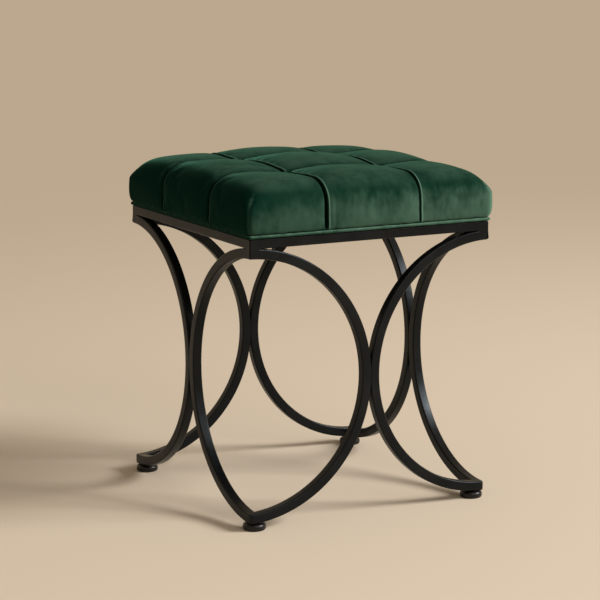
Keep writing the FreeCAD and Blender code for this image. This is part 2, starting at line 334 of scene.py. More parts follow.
def drawn_out(shape, edges):
    """The new points of extruded edges, which lie on the old ones until they are moved."""
    grown = bmesh.ops.extrude_edge_only(shape, edges=edges)
    return [item for item in grown["geom"] if isinstance(item, bmesh.types.BMVert)]


def applied(thing):
    """A trial object's shape with its modifiers applied. The object itself goes."""
    mesh = bpy.data.meshes.new_from_object(thing.evaluated_get(bpy.context.evaluated_depsgraph_get()))
    shape = bmesh.new()
    shape.from_mesh(mesh)
    bpy.data.objects.remove(thing)
    return shape


def shade_smooth(shape):
    """Shades every face smooth."""
    for face in shape.faces:
        face.smooth = True


def start_tube(x, level):
    """A bmesh with the tube's cross-section standing across the X axis, in the front side."""
    shape = bmesh.new()
    bmesh.ops.create_grid(shape, x_segments=1, y_segments=1, size=tube_size / 2,
                          matrix=Matrix.Translation((x, tube_size / 2 - frame_half, level))
                          @ Matrix.Rotation(math.pi / 2, 4, "Y"))
    bmesh.ops.bevel(shape, geom=list(shape.verts), affect="VERTICES", offset=tube_round,
                    segments=tube_round_steps, profile=0.5, material=-1)
    bmesh.ops.delete(shape, geom=list(shape.faces), context="FACES_ONLY")
    return shape


def cut_off(shape, place, outward):
    """Cuts the shape at a plane, drops what lies beyond it and closes the cut."""
    bmesh.ops.bisect_plane(shape, geom=all_of(shape), plane_co=place, plane_no=outward, clear_outer=True)
    bmesh.ops.holes_fill(shape, edges=open_edges(shape), sides=0)


def on_corner_plane(vert):
    """Whether a point lies in one of the upright planes that halve the stool's corners."""
    return abs(abs(vert.co.x) - abs(vert.co.y)) < in_plane and abs(vert.co.x) > tube_size


def on_upper_mitre(edge):
    """Whether an edge runs along a rail's mitre or the mitre at an arc's upper end."""
    return all(on_corner_plane(vert) and vert.co.z > arc_level for vert in edge.verts)


def break_seams(shape):
    """Breaks the edges along the upper mitres, so that a fine dark line shows at each."""
    bmesh.ops.bevel(shape, geom=[edge for edge in shape.edges if on_upper_mitre(edge)],
                    affect="EDGES", offset=seam_width, segments=1, profile=0.5, material=-1)


def fill_weld(shape):
    """Fills the groove between a rail and the arc under it, near the corners."""
    for reach in (weld_reach, weld_end):
        for way in (-1, 1):
            bmesh.ops.bisect_plane(shape, geom=all_of(shape), plane_co=(way * (frame_half - reach), 0, 0),
                                   plane_no=(1, 0, 0))
    for vert in shape.verts:
        at_face = vert.co.y < tube_round - frame_half + nearly
        in_groove = at_face and abs(vert.co.z - rail_bottom) < tube_round + nearly
        if in_groove and abs(vert.co.x) > frame_half - weld_reach - nearly:
            if on_corner_plane(vert):
                vert.co.x = math.copysign(frame_half, vert.co.x)
            vert.co.y = -frame_half


def divide_ends(shape):
    """Divides the flat cuts into well-shaped triangles."""
    bmesh.ops.triangulate(shape, faces=[face for face in shape.faces if len(face.verts) > 4],
                          quad_method="BEAUTY", ngon_method="BEAUTY")


def face_outwards(shape):
    """Makes a closed shape's faces point out of it."""
    bmesh.ops.recalc_face_normals(shape, faces=shape.faces)
    if shape.calc_volume(signed=True) < 0:
        bmesh.ops.reverse_faces(shape, faces=shape.faces)


def finish_tube(shape, name, turn):
    """Turns a piece of the front side into its place, shades it and hangs it on the frame."""
    bmesh.ops.transform(shape, matrix=turn, verts=shape.verts)
    divide_ends(shape)
    face_outwards(shape)
    shade_smooth(shape)
    for edge in shape.edges:
        on_foot = all(vert.co.z < arc_level for vert in edge.verts)
        edge.smooth = edge.calc_face_angle(0) < (sharpest_smooth_foot if on_foot else sharpest_smooth)
    tube = add_object(name + "_tube", shape, coat)
    tube.modifiers.new("flat_sides", "WEIGHTED_NORMAL").keep_sharp = True
    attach(tube, "frame")
    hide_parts(name)


def make_rail(name, turn):
    """A seat rail, mitred at both ends."""
    reach = frame_half + beyond_corner
    shape = start_tube(-reach, rail_bottom + tube_size / 2)
    ends = drawn_out(shape, list(shape.edges))
    bmesh.ops.translate(shape, verts=ends, vec=(2 * reach, 0, 0))
    cut_off(shape, (0, 0, 0), (-1, 1, 0))
    cut_off(shape, (0, 0, 0), (1, 1, 0))
    fill_weld(shape)
    break_seams(shape)
    finish_tube(shape, name, turn)


def bored_for_bush(shape):
    """The same shape with the hole that the foot's bush is welded into."""
    divide_ends(shape)
    face_outwards(shape)
    tube = add_object("foot_trial", shape, coat)
    drill = bmesh.new()
    bmesh.ops.create_cone(drill, cap_ends=True, segments=48, radius1=bush_radius, radius2=bush_radius,
                          depth=2 * bush_height,
                          matrix=Matrix.Translation((bush_place, bush_place, foot_level)))
    cutter = add_object("bush_drill", drill, coat)
    boring = tube.modifiers.new("boring", "BOOLEAN")
    boring.object = cutter
    boring.operation = "DIFFERENCE"
    bored = applied(tube)
    bpy.data.objects.remove(cutter)
    return bored


def make_arc(name, turn):
    """A half circle, ground flat against its neighbour and the rail, and flat under its foot."""
    shape = start_tube(-frame_half, arc_level - arc_radius)
    bmesh.ops.spin(shape, geom=all_of(shape), cent=(-frame_half, 0, arc_level), axis=(0, -1, 0),
                   angle=math.pi, steps=arc_steps)
    ends = drawn_out(shape, open_edges(shape))
    bmesh.ops.translate(shape, verts=ends, vec=(-beyond_corner, 0, 0))
    bmesh.ops.bisect_plane(shape, geom=all_of(shape), plane_co=(foot_softening - frame_half, 0, 0),
                           plane_no=(1, 0, 0))
    cut_off(shape, (0, 0, 0), (-1, 1, 0))
    cut_off(shape, (0, 0, foot_level), (0, 0, -1))
    cut_off(shape, (0, 0, rail_bottom), (0, 0, 1))
    cut_off(shape, (0, 0, 0), (1, 0, 0))
    for vert in shape.verts:
        at_foot = vert.co.z < arc_level and vert.co.y < foot_softening / 2 - frame_half
        if at_foot and on_corner_plane(vert):
            vert.co.x += foot_ground_off * math.sqrt(0.5)
            vert.co.y += foot_ground_off * math.sqrt(0.5)
    fill_weld(shape)
    break_seams(shape)
    bmesh.ops.dissolve_degenerate(shape, dist=thinnest_face, edges=list(shape.edges))
    finish_tube(bored_for_bush(shape), name, turn)


sides = ("front", "right", "back", "left")
mirrored = Matrix.Scale(-1, 4, (1, 0, 0))
for number, side in enumerate(sides):
    turn = Matrix.Rotation(math.pi / 2 * number, 4, "Z")
    make_rail(side + "_rail", turn)
    make_arc(side + "_arc_" + sides[number - 1], turn)
    make_arc(side + "_arc_" + sides[(number + 1) % 4], turn @ mirrored)


# Glides
# Turned black nylon feet, slightly glossy on top and scuffed dull where they meet the floor,
# on zinc plated stems with a rolled thread.
nylon_colour = (0.0045, 0.0045, 0.0050, 1)
nylon_scuffed = (0.022, 0.021, 0.020, 1)
nylon_roughness = 0.32
scuff_roughness = 0.3  # added to it in the scuffs
scuff_levels = (0.0005, 0.0035)  # the scuffs fade out between these levels
thread_pitch = 0.00125
thread_depth = 0.0004
zinc_colour = (0.52, 0.53, 0.54, 1)
zinc_dull = (0.36, 0.37, 0.38, 1)
zinc_roughness = (0.28, 0.42)


def plus(tree, first, second):
    """The sum of two values or sockets."""
    return computed(tree, "ADD", first, second)


nylon, nylon_tree, nylon_shader = start_material("black_nylon")
nylon_place = object_place(nylon_tree)
near_floor = ranged(nylon_tree, parts_of(nylon_tree, nylon_place)["Z"], *scuff_levels, 1.0, 0.0)
scuffs = ranged(nylon_tree, cloudy(nylon_tree, nylon_place, 0.003, 4.0), 0.4, 0.7)
scuffed = times(nylon_tree, near_floor, scuffs)
nylon_tone = blended(nylon_tree, scuffed, nylon_colour, nylon_scuffed)
nylon_gloss = plus(nylon_tree, nylon_roughness, times(nylon_tree, scuffed, scuff_roughness))
set_inputs(nylon_shader, Base_Color=nylon_tone, Roughness=nylon_gloss, Specular_IOR_Level=0.32)
raise_surface(nylon_tree, nylon_shader, cloudy(nylon_tree, nylon_place, 0.0006), 0.00002, 0.5)
paint(nylon, *["glide_base_" + corner for corner in corners])


def stripes(tree, place, direction, gap):
    """Soft stripes across a direction, a gap apart. At a scale of 1 they would lie tau / 20 apart."""
    wave = tree.nodes.new("ShaderNodeTexWave")
    wave.bands_direction = direction
    set_inputs(wave, Vector=place, Scale=math.tau / gap / 20)
    return wave.outputs["Fac"]


def make_zinc(name, threaded):
    """Zinc plate, dull in patches, with a rolled thread on upright stems."""
    zinc, tree, shader = start_material(name)
    place = object_place(tree)
    patches = ranged(tree, cloudy(tree, place, 0.004, 4.0), 0.35, 0.7)
    gloss = ranged(tree, cloudy(tree, place, 0.002), 0.3, 0.7, *zinc_roughness)
    tone = blended(tree, patches, zinc_colour, zinc_dull)
    set_inputs(shader, Base_Color=tone, Roughness=gloss, Metallic=1.0)
    raise_surface(tree, shader, cloudy(tree, place, 0.0005), 0.00001, 0.4)
    if threaded:
        raise_surface(tree, shader, stripes(tree, place, "Z", thread_pitch), thread_depth)
    return zinc


paint(make_zinc("zinc_thread", threaded=True), *["glide_stem_" + corner for corner in corners])


# Seat board
# Twelve millimetre plywood, bored for the nuts and the twines. Its face grain runs from side to
# side, and its plies show as stripes round the edge.
wood_colour = (0.46, 0.30, 0.16, 1)
wood_dark = (0.30, 0.18, 0.09, 1)
grain_stretch = (6, 70, 1)
ply_thickness = 0.0024

wood, wood_tree, wood_shader = start_material("plywood")
grain = cloudy(wood_tree, object_place(wood_tree, grain_stretch), 0.9, 6.0)
plies = stripes(wood_tree, object_place(wood_tree), "Z", 2 * ply_thickness)
wood_share = times(wood_tree, ranged(wood_tree, grain, 0.35, 0.65), plies)
wood_tone = blended(wood_tree, wood_share, wood_colour, wood_dark)
set_inputs(wood_shader, Base_Color=wood_tone, Roughness=0.65)
raise_surface(wood_tree, wood_shader, grain, 0.0002, 0.5)
paint(wood, "seat_board")


# Nuts, washers, screws and staples
# Zinc plated steel: the nuts in the board, the screws and washers that hold it to the corner tabs,
# and the staples that hold the velvet's hem and the dust cover.
paint(make_zinc("zinc_plate", threaded=False), "t_nuts", "seat_washers", "seat_screws", "seat_staples")


# Velvet cushion
# Green velvet stretched over foam and round the board, and stapled under it. Two sewn tucks run each
# way over the top and down the sides, and twines pull it down where they cross, without buttons.
crown_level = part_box("velvet_cover")[1].z
board_low, board_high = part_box("seat_board")
neck_half = frame_half - 0.0016
neck_level = rail_top + 0.0052
neck_step = 0.0008  # the neck's last two rows lie this far below its level and above the rail
wall_half = frame_half + 0.0058  # where the sides start to roll over
wall_level = rail_top + 0.039
wall_bend = 0.11  # from here out, the sides' rows come in or out to their own half width
shoulder_half = 0.150  # where the roll ends
shoulder_level = crown_level - 0.0065
corner_round = 0.011
edge_sharpness = 1.25  # how squarely the sides meet over the corners
steep_drop = 0.020  # from this far below the crown the corners turn upright
tuck_place = 0.075  # tucks from the middle of the seat
outline_steps = 200
gap_growth = 0.17  # how fast the marks beside a tuck move apart

top_spans = [
    (Vector((0, crown_level)), Vector((0.05, crown_level)), Vector((0.11, crown_level - 0.0035)),
     Vector((shoulder_half, shoulder_level))),
    (Vector((shoulder_half, shoulder_level)), Vector((shoulder_half + 0.027, shoulder_level - 0.0010)),
     Vector((wall_half, wall_level + 0.024)), Vector((wall_half, wall_level))),
]
wall_span = (Vector((wall_half, wall_level)), Vector((wall_half + 0.0012, wall_level - 0.016)),
             Vector((neck_half + 0.0085, neck_level + 0.0012)), Vector((neck_half + 0.003, neck_level)))


def outline_points(spans):
    """Close points along a run of smooth spans."""
    points = [spans[0][0]]
    for start, start_handle, end_handle, end in spans:
        points += interpolate_bezier(start, start_handle, end_handle, end, outline_steps)[1:]
    return [Vector((point[0], point[1])) for point in points]


def walked(points):
    """How far along the line each point lies."""
    distances = [0.0]
    for number in range(1, len(points)):
        distances.append(distances[-1] + (points[number] - points[number - 1]).length)
    return distances


def at_distance(points, distances, distance):
    """The point that far along the line."""
    for number in range(1, len(points)):
        if distances[number] >= distance:
            share = (distance - distances[number - 1]) / max(distances[number] - distances[number - 1], 1e-9)
            return points[number - 1].lerp(points[number], min(share, 1.0))
    return points[-1]


top_points = outline_points(top_spans)
top_distances = walked(top_points)
top_length = top_distances[-1]
tuck_mark = [d for point, d in zip(top_points, top_distances) if point.x <= tuck_place][-1]
wall_points = outline_points([wall_span])
wall_distances = walked(wall_points)


def even_marks(length, gap):
    """Marks from 0 to a length, evenly apart."""
    count = math.ceil(length / gap)
    return [length * number / count for number in range(count + 1)]


def graded_marks(length, first_gap, widest, last_gap):
    """Marks from 0 to a length, closer together near both ends."""
    marks = [0.0]
    while marks[-1] < length:
        left = max(length - marks[-1], 0.0)
        gap = min(first_gap + marks[-1] * gap_growth, last_gap + left * gap_growth, widest)
        marks.append(marks[-1] + gap)
    return [mark * length / marks[-1] for mark in marks]


def both_ways(inner, outer):
    """Marks over the whole seat, from those inside a tuck and those outside it."""
    half = [tuck_mark - mark for mark in reversed(inner)] + [tuck_mark + mark for mark in outer[1:]]
    return [-mark for mark in reversed(half[1:])] + half


def box_grid(columns, rows):
    """A box from -1 to 1, open below, in columns each way and rows down its sides."""
    shape = bmesh.new()
    bmesh.ops.create_cube(shape, size=2)
    underside = [face for face in shape.faces if face.normal.z < -0.5]
    bmesh.ops.delete(shape, geom=underside, context="FACES_ONLY")
    for axis, pieces in ((2, rows), (0, columns), (1, columns)):
        along = [edge for edge in shape.edges if abs(edge.verts[0].co[axis] - edge.verts[1].co[axis]) > 1.5]
        bmesh.ops.subdivide_edges(shape, edges=along, cuts=pieces - 1, use_grid_fill=True)
    return shape


def rounded_corner(x, y, half):
    """A point of a square plan moved in where the square's corner is rounded."""
    straight = half - corner_round
    over_x = (abs(x) - straight) / corner_round
    over_y = (abs(y) - straight) / corner_round
    if over_x <= 0 or over_y <= 0:
        return x, y
    new_x = straight + corner_round * over_x * math.sqrt(1 - over_y ** 2 / 2)
    new_y = straight + corner_round * over_y * math.sqrt(1 - over_x ** 2 / 2)
    return math.copysign(new_x, x), math.copysign(new_y, y)


def top_place(along, across):
    """A point on top, from the two outlines that meet there. Their drops add up in the corners."""
    drops = (crown_level - along.y, crown_level - across.y)
    steepest = max(drops)
    both = sum(drop ** edge_sharpness for drop in drops) ** (1 / edge_sharpness)
    fading = min(1.0, (crown_level - wall_level - steepest) / (crown_level - wall_level - steep_drop))
    return Vector((along.x, across.x, crown_level - steepest - (both - steepest) * fading))


def wall_place(top, half, row_level):
    """A point on a side, below a point of the top's rim."""
    share = (wall_level - row_level) / (wall_level - neck_level)
    level = top.z + (neck_level - top.z) * share if share < 1 else row_level
    moved = []
    for value in top.xy:
        near_corner = max(0.0, (value - wall_bend) / (wall_half - wall_bend))
        moved.append(value + (half - wall_half) * near_corner ** 2)
    return Vector((*moved, level))


def lay_cushion(marks, wall_rows):
    """The smooth cushion, and what each of its points is: its two marks and its level on the wall."""
    top_places = [at_distance(top_points, top_distances, abs(mark)) for mark in marks]
    rows = [at_distance(wall_points, wall_distances, wall_distances[-1] * row / wall_rows)
            for row in range(wall_rows + 1)]
    rows += [Vector((neck_half, neck_level - neck_step)), Vector((neck_half, rail_top + neck_step))]
    shape = box_grid(len(marks) - 1, len(rows) - 1)
    shape.verts.ensure_lookup_table()
    keys = []
    for vert in shape.verts:
        column = round((vert.co.x + 1) / 2 * (len(marks) - 1))
        line = round((vert.co.y + 1) / 2 * (len(marks) - 1))
        row = round((1 - vert.co.z) / 2 * (len(rows) - 1))
        place = top_place(top_places[column], top_places[line])
        half = wall_half
        if row > 0:
            half = rows[row].x
            place = wall_place(place, half, rows[row].y)
        x, y = rounded_corner(math.copysign(place.x, marks[column]),
                              math.copysign(place.y, marks[line]), half)
        vert.co = (x, y, place.z)
        keys.append((marks[column], marks[line], rows[row].y if row > 0 else wall_level))
    bmesh.ops.recalc_face_normals(shape, faces=shape.faces)
    return shape, keys


# The tucks draw the velvet in beside them, less on the sides than on the top, and the pads stand
# full between them.
tuck_near_depth = 0.0034
tuck_near_reach = 0.007
tuck_near_rise = 0.007  # how far above the neck this depth is reached
tuck_wide_depth = 0.0036
tuck_wide_reach = 0.070
tuck_wide_rise = 0.020
tuft_depth = 0.003
tuft_reach = 0.007
side_share = 0.60  # depth on the sides as a share of that on the top
side_reach = 0.1  # and how far beyond the tucks that share is reached
lump_height = 0.0009
lump_rise = 0.016


def smooth(share):
    """An eased share from 0 to 1."""
    share = min(max(share, 0.0), 1.0)
    return share * share * (3 - 2 * share)


def from_tuck(mark):
    """Distance from the nearer of the two tucks that cross this way."""
    return abs(abs(mark) - tuck_mark)


def above_neck(level, rise):
    """0 at the top of the neck and below, and 1 from a rise above it."""
    return smooth((level - neck_level) / rise)


def draw_in(shape, keys):
    """Moves the smooth cushion's velvet in beside the tucks."""
    shape.normal_update()
    for vert, (mark_x, mark_y, level) in zip(shape.verts, keys):
        depth = 0
        for mark, other in ((mark_x, mark_y), (mark_y, mark_x)):
            distance = from_tuck(mark)
            near = tuck_near_depth * math.exp(-distance / tuck_near_reach) * above_neck(level, tuck_near_rise)
            wide = tuck_wide_depth * (1 + math.cos(math.pi * min(distance / tuck_wide_reach, 1))) / 2
            wide *= above_neck(level, tuck_wide_rise)
            out = smooth((abs(other) - tuck_mark) / side_reach)
            depth += (near + wide) * (1 - out + side_share * out)
        from_tuft = math.hypot(from_tuck(mark_x), from_tuck(mark_y))
        depth += tuft_depth * math.exp(-(from_tuft / tuft_reach) ** 2)
        lumps = noise.noise(vert.co * 16) * lump_height * above_neck(level, lump_rise)
        vert.co -= vert.normal * (depth - lumps)


# A coarser copy of the velvet is blown up as cloth, held at the tucks, the tufts and the neck, and
# the cushion follows it.
trial_gap = 0.0048
trial_rows = 9
trial_pressure = 4.0
trial_frames = 20
held_half = 0.0005  # the velvet is held as near as this to a tuck
held_rise = 0.012  # and, less and less, up to here above the neck
most_swell = 0.0036


def swell(shape):
    """Moves the cushion's points as far as the simulated velvet moves."""
    outer = even_marks(top_length - tuck_mark, trial_gap)
    trial, trial_keys = lay_cushion(both_ways(even_marks(tuck_mark, trial_gap), outer), trial_rows)
    draw_in(trial, trial_keys)
    started = [vert.co.copy() for vert in trial.verts]
    tree = BVHTree.FromBMesh(trial)
    corners_of = [[vert.index for vert in face.verts] for face in trial.faces]
    blown = add_object("velvet_trial", trial, velvet)
    held = blown.vertex_groups.new(name="held")
    for number, (mark_x, mark_y, level) in enumerate(trial_keys):
        in_tuck = min(from_tuck(mark_x), from_tuck(mark_y)) < held_half
        held.add([number], 1.0 if in_tuck else 1 - above_neck(level, held_rise), "REPLACE")
    cloth = blown.modifiers.new("cloth", "CLOTH")
    weave = cloth.settings
    weave.quality = 6
    weave.mass = 0.15
    weave.tension_stiffness = 12
    weave.compression_stiffness = 12
    weave.shear_stiffness = 4
    weave.bending_stiffness = 0.8
    weave.shrink_min = -0.005
    weave.use_pressure = True
    weave.uniform_pressure_force = trial_pressure
    weave.vertex_group_mass = "held"
    weave.effector_weights.gravity = 0
    cloth.collision_settings.use_collision = False
    cloth.point_cache.frame_start = 1
    cloth.point_cache.frame_end = trial_frames
    for number in range(1, trial_frames + 1):
        scene.frame_set(number)
    ended = blown.evaluated_get(bpy.context.evaluated_depsgraph_get()).data.vertices
    moves = []
    for number, start in enumerate(started):
        move = ended[number].co - start
        length = move.length
        moves.append(move * (most_swell * math.tanh(length / most_swell) / length) if length > 0 else move)
    for vert in shape.verts:
        place, _, face, _ = tree.find_nearest(vert.co)
        numbers = corners_of[face]
        weights = poly_3d_calc([started[number] for number in numbers], place)
        for number, weight in zip(numbers, weights):
            vert.co += moves[number] * weight
    bpy.data.objects.remove(blown)
    scene.frame_set(1)


# Each tuck is a slit with a rounded lip on one side, where the velvet is folded over itself. It
# closes at the tufts and at the neck, and the left one at the front gapes half way down.
slit_depth = 0.0050
slit_half = 0.0008  # at the front and the back, left of the middle
slit_half_at_right = 0.0005  # and right of it
slit_half_on_sides = 0.0021
slit_half_on_top = 0.0013
slit_wander = 0.35  # how far a slit's width varies, as a share of it
slit_end = 0.012  # a slit is fully open from this far from a tuft
slit_end_rise = 0.003  # and from this far above the neck
top_start = 0.030  # its width on top begins this far below the shoulder
top_rise = 0.025
lip_height = 0.0016
lip_width = 0.0014
lip_gap = 0.0016  # from the slit's edge to the middle of the lip
lit_gap = 0.0018  # and to the painted highlight line on it
lit_width = 0.0009
gape_place = Vector((-tuck_place, -frame_half, rail_top + 0.028))
gape_reach = 0.045
gape_width = 0.0011
ridge_place = 0.0105  # a second, fainter fold beside the gaping tuck
ridge_reach = 0.022
ridge_width = 0.0010
ridge_height = 0.0005
ridge_lit = 0.6
corner_start = 0.17  # the corners' marks are drawn from here out
crease_height = 0.0008  # the small crease over each corner
crease_level = rail_top + 0.048
crease_width = 0.0016
crease_reach = 0.007
crease_lit = 0.7
rim_lit = 0.22  # a painted highlight runs down each corner
rim_width = 0.0035
rim_lit_at_right = 0.62  # and more, in a wider band, down the front right one
rim_shift_at_right = 0.0040
rim_width_at_right = 0.0055
rim_start = 0.006  # this rim begins that far above the crease's level
rim_fade = 0.010
groove_shade = 0.75  # painted shade behind the tucks that run to the sides
groove_shade_reach = 0.0055
foot_shade = 0.75  # and where the sides meet the welt
foot_shade_height = 0.0018
foot_shade_wander = 0.0016
valley_reach = 0.012  # painted shade also lies between the pads on top
valley_start = 0.022
valley_rise = 0.012
tuft_shade = 0.8  # and round the tufts
tuft_shade_reach = 0.022


def bell(distance, width):
    """1 in the middle, and next to nothing beyond two widths."""
    return math.exp(-(distance / width) ** 2)


def signed_from_tuck(mark):
    """Distance from the nearer tuck, positive towards the right or the back."""
    return mark - math.copysign(tuck_mark, mark)


def corner_marks(place):
    """How much of the crease over a corner, and of the painted highlight down it, a point has."""
    from_corner = abs(abs(place.x) - abs(place.y)) if abs(place.x) > corner_start else 1.0
    crease = bell(from_corner, crease_width) * bell(place.z - crease_level, crease_reach)
    rim = rim_lit * bell(from_corner, rim_width)
    if place.x > corner_start and place.y < -corner_start:
        rim = rim_lit_at_right * bell(place.x + place.y + rim_shift_at_right, rim_width_at_right)
    return crease, rim * smooth((crease_level + rim_start - place.z) / rim_fade)


def fold_tucks(shape, keys):
    """Sinks the tucks' slits, raises their lips, and marks painted shade and painted highlights for the
    velvet.
    """
    painted_shade = shape.verts.layers.float.new("painted_shade")
    valley_shade = shape.verts.layers.float.new("valley_shade")
    painted_highlight = shape.verts.layers.float.new("painted_highlight")
    shape.normal_update()
    for vert, (mark_x, mark_y, level) in zip(shape.verts, keys):
        from_gape = (vert.co - gape_place).length
        gaping = gape_width * bell(from_gape, gape_reach)
        wander = 1 + slit_wander * noise.noise(vert.co * 22)
        near_tuft = math.hypot(from_tuck(mark_x), from_tuck(mark_y))
        closing = smooth(near_tuft / slit_end) * above_neck(level, slit_end_rise)
        on_top = smooth((vert.co.z - shoulder_level + top_start) / top_rise)
        height = 0
        half_at_front = slit_half if mark_x < 0 else slit_half_at_right
        for distance, half_below, wider, shade in (
                (signed_from_tuck(mark_x), half_at_front, gaping, 0),
                (-signed_from_tuck(mark_y), slit_half_on_sides, 0, groove_shade)):
            half = (half_below + (slit_half_on_top - half_below) * on_top) * wander + wider
            slit = bell(distance, half) * closing
            edge = bell(distance - half - lip_gap, lip_width) * closing
            height += lip_height * edge - slit_depth * slit
            # painted shade in the slit, over its real depth
            vert[painted_shade] = max(vert[painted_shade], slit)
            # painted highlight along the lip
            vert[painted_highlight] = max(vert[painted_highlight], bell(distance - half - lit_gap, lit_width) * closing)
            # painted shade behind the tucks that run to the sides
            if distance < 0:
                vert[painted_shade] = max(vert[painted_shade], shade * bell(distance, groove_shade_reach) * closing)
        ridge = bell(signed_from_tuck(mark_x) - ridge_place, ridge_width)
        ridge *= smooth(bell(from_gape, ridge_reach) * 1.5)
        crease, rim = corner_marks(vert.co)
        # painted highlights on the second ridge, the corner's crease and down the corners
        vert[painted_highlight] = max(vert[painted_highlight], ridge * ridge_lit, crease * crease_lit, rim)
        # painted shade where the sides meet the welt
        shade_end = neck_level + foot_shade_height + foot_shade_wander * noise.noise(vert.co * 110)
        vert[painted_shade] = max(vert[painted_shade], foot_shade * smooth((shade_end - level) / foot_shade_height))
        # painted shade between the pads on top and round the tufts
        beside = min(from_tuck(mark_x), from_tuck(mark_y))
        between_pads = smooth((vert.co.z - shoulder_level + valley_start) / valley_rise)
        vert[valley_shade] = max(math.exp(-beside / valley_reach) * between_pads,
                           tuft_shade * bell(near_tuft, tuft_shade_reach))
        vert.co += vert.normal * (height + crease_height * crease + ridge_height * ridge)


def subdivided(shape):
    """The same shape, made smooth by one subdivision."""
    rough = add_object("cushion_trial", shape, velvet)
    rough.modifiers.new("smoothing", "SUBSURF").levels = 1
    return applied(rough)


hem_inner_half = 0.148
cloth_clearance = 0.0001
board_clearance = 0.0002


def turn_in_hem(shape):
    """Turns the velvet in under the board, and closes the foam's underside over it."""
    hem_low = rail_top + cloth_clearance
    hem_high = board_low.z - cloth_clearance
    board_half = board_high.x + board_clearance
    rings = [(neck_half - 0.0003, hem_low + 0.0001), (neck_half - 0.0012, hem_low),
             (hem_inner_half, hem_low), (hem_inner_half, hem_high), (board_half, hem_high),
             (board_half, board_high.z + board_clearance)]
    half = neck_half
    for ring_half, ring_level in rings:
        for vert in drawn_out(shape, open_edges(shape)):
            vert.co.x *= ring_half / half
            vert.co.y *= ring_half / half
            vert.co.z = ring_level
        half = ring_half
    bmesh.ops.holes_fill(shape, edges=open_edges(shape), sides=0)


# The velvet's colour carries painted light: a pale painted sheen low on the sides and over the crown,
# growing towards the right; painted shade on what faces left, at the left end of the front, between
# the pads, in the slits and above the welt; and painted highlights along the lips and down the corners.
velvet_painted_shadow = (0.0006, 0.0032, 0.0020, 1)
velvet_dark_nap_and_shade = (0.0001, 0.0168, 0.0108, 1)
velvet_middle = (0.0080, 0.0360, 0.0200, 1)
velvet_painted_sheen = (0.0520, 0.1080, 0.0760, 1)
velvet_painted_highlight = (0.1500, 0.2800, 0.2000, 1)
nap_sway = -0.07  # how far the nap's clouds move the edge of the painted sheen on the sides
sheen_side_levels = (rail_top + 0.026, rail_top + 0.060)
sheen_crown_levels = (rail_top + 0.056, rail_top + 0.074)
crown_share = 0.56
# above these levels the painted shade at the left end of the front gives way
top_levels = (rail_top + 0.052, rail_top + 0.066)
left_end = (-0.19, -0.05)  # painted shade at the left end of the front
left_end_share = 0.55
left_end_drop = 0.011
seat_width = (-0.17, 0.17)  # and the painted sheen grows towards the right
sheen_at_left = 0.60
sheen_at_right = 1.45
# painted shade on what faces left, away from the key light
facing_left = (-0.62, -0.20)
facing_left_share = 0.06


def attribute_share(tree, name):
    """A value that the piece's own points carry."""
    reader = tree.nodes.new("ShaderNodeAttribute")
    reader.attribute_name = name
    return reader.outputs["Fac"]


def make_velvet():
    """Green velvet for the cushion and its welt."""
    material, tree, shader = start_material("green_velvet")
    place = object_place(tree)
    at = parts_of(tree, place)
    facing = parts_of(tree, tree.nodes.new("ShaderNodeTexCoord").outputs["Normal"])
    brushed = cloudy(tree, object_place(tree, (1, 1, 0.35)), 0.03, 3.0)
    clouds = cloudy(tree, place, 0.09, 2.0)
    specks = cloudy(tree, object_place(tree, (1, 1, 0.5)), 0.009, 3.0)
    nap = plus(tree, times(tree, brushed, 0.45), times(tree, clouds, 0.30))
    nap = plus(tree, nap, times(tree, specks, 0.25))
    uneven_level = plus(tree, at["Z"], times(tree, computed(tree, "SUBTRACT", nap, 0.5), nap_sway))
    uneven_level = plus(tree, uneven_level, ranged(tree, at["X"], *left_end, left_end_drop, 0.0))
    # Painted sheen: pale low on the sides and over the crown, growing towards the right, less at the left end
    # and on what faces left.
    low_side = ranged(tree, uneven_level, *sheen_side_levels, 1.0, 0.0)
    towards_right = ranged(tree, at["X"], *seat_width, sheen_at_left, sheen_at_right)
    crown = ranged(tree, at["Z"], *sheen_crown_levels, 0.0, crown_share)
    # painted shade on what faces left
    off_left = ranged(tree, facing["X"], *facing_left, facing_left_share, 1.0)
    painted_sheen_share = times(tree, plus(tree, times(tree, low_side, towards_right), crown), off_left)
    painted_sheen_share = times(tree, ranged(tree, nap, 0.34, 0.62, 0.35, 1.0), painted_sheen_share)
    # painted shade at the left end of the front, up to the top levels, and on what faces left
    left_share = ranged(tree, at["X"], *left_end, left_end_share, 1.0)
    top_share = ranged(tree, at["Z"], *top_levels)
    middle_share = times(tree, ranged(tree, nap, 0.3, 0.6, 0.2, 1.0), off_left)
    middle_share = times(tree, middle_share, computed(tree, "MAXIMUM", left_share, top_share))
    tone = blended(tree, middle_share, velvet_dark_nap_and_shade, velvet_middle)
    tone = blended(tree, painted_sheen_share, tone, velvet_painted_sheen)
    # painted shade between the pads and round the tufts
    tone = blended(tree, times(tree, attribute_share(tree, "valley_shade"), 0.85), tone, velvet_dark_nap_and_shade)
    # painted highlights along the lips, the ridge and the corners, weaker on what faces left
    lit_edge = times(tree, attribute_share(tree, "painted_highlight"), plus(tree, times(tree, off_left, 0.62), 0.28))
    tone = blended(tree, lit_edge, tone, velvet_painted_highlight)
    # painted shade in the slits, behind the side tucks and above the welt
    tone = blended(tree, attribute_share(tree, "painted_shade"), tone, velvet_painted_shadow)
    set_inputs(shader, Base_Color=tone, Roughness=0.8, Specular_IOR_Level=0.02, Sheen_Weight=0.30,
               Sheen_Roughness=0.22, Sheen_Tint=(0.30, 1.0, 0.66, 1))
    raise_surface(tree, shader, cloudy(tree, place, 0.0007), 0.0003, 0.5)
    raise_surface(tree, shader, brushed, 0.0012, 0.35)
    return material


